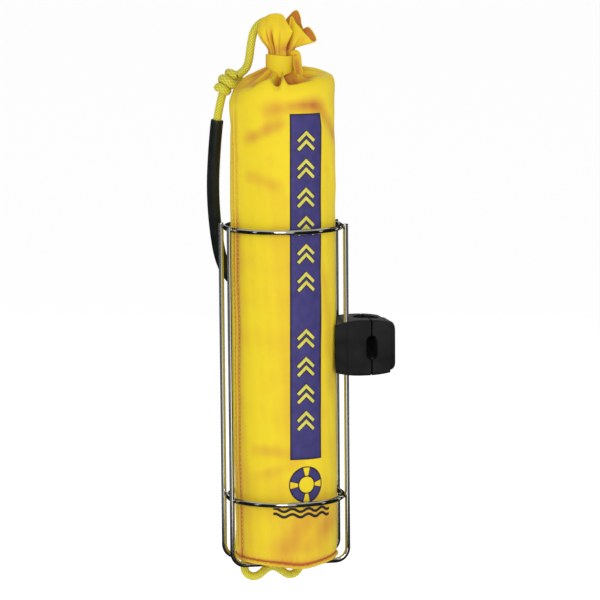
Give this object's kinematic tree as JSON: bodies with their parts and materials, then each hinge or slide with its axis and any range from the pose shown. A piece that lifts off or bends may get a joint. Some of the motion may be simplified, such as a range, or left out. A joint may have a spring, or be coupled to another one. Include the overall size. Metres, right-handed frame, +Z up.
{
  "type": "throw rope bag",
  "caption": "Cylindrical fabric bag of floating rescue line with a sleeved hand loop, standing in a steel wire holder that clamps to a guard rail.",
  "frame": {"origin": "centre of the clamp's rail bore, halfway up the clamp", "axes": "+Z up along the rail and the bag, +X away from the bag across the clamp, -Y towards the face with the coloured stripe"},
  "size_m": [0.1727, 0.141, 0.546],
  "materials": {
    "polished_wire": "polished stainless wire",
    "black_nylon": "fine moulded grain",
    "fastener_steel": "plain stainless",
    "bag_fabric": "coated woven polyester",
    "strap_webbing": "flat woven webbing",
    "stripe_print": "printed cloth strip",
    "eyelet_metal": "nickel-plated brass",
    "foam": "closed-cell foam",
    "line": "braided polypropylene",
    "black_sleeve": "satin PVC tube"
  },
  "bodies": {
    "holder": {"front_wire": "polished_wire", "rear_wire": "polished_wire", "top_ring": "polished_wire", "lower_ring": "polished_wire", "wire_keeper": "black_nylon", "clamp_saddle": "black_nylon", "clamp_nuts": "fastener_steel"},
    "bag": {"bag_shell": "bag_fabric", "bag_base": "bag_fabric", "base_hem": "bag_fabric", "base_eyelets": "eyelet_metal", "bag_collar": "bag_fabric", "neck_strap": "strap_webbing", "front_stripe": "stripe_print", "foam_disc": "foam", "stowed_line": "line", "line_lead": "line", "hand_loop": "line", "grip_sleeve": "black_sleeve", "base_rope": "line", "loop_knot": "line", "base_knots": "line"},
    "jaw": {"clamp_jaw": "black_nylon", "jaw_cap": "black_nylon", "clamp_bolts": "fastener_steel", "clamp_washers": "fastener_steel"}
  },
  "joints": [
    {"name": "bag_lift", "type": "slide", "parent": "holder", "child": "bag", "axis": [0, 0, 1], "range_m": [0, 0.345]},
    {"name": "jaw_release", "type": "slide", "parent": "holder", "child": "jaw", "axis": [1, 0, 0], "range_m": [0, 0.055]}
  ]
}
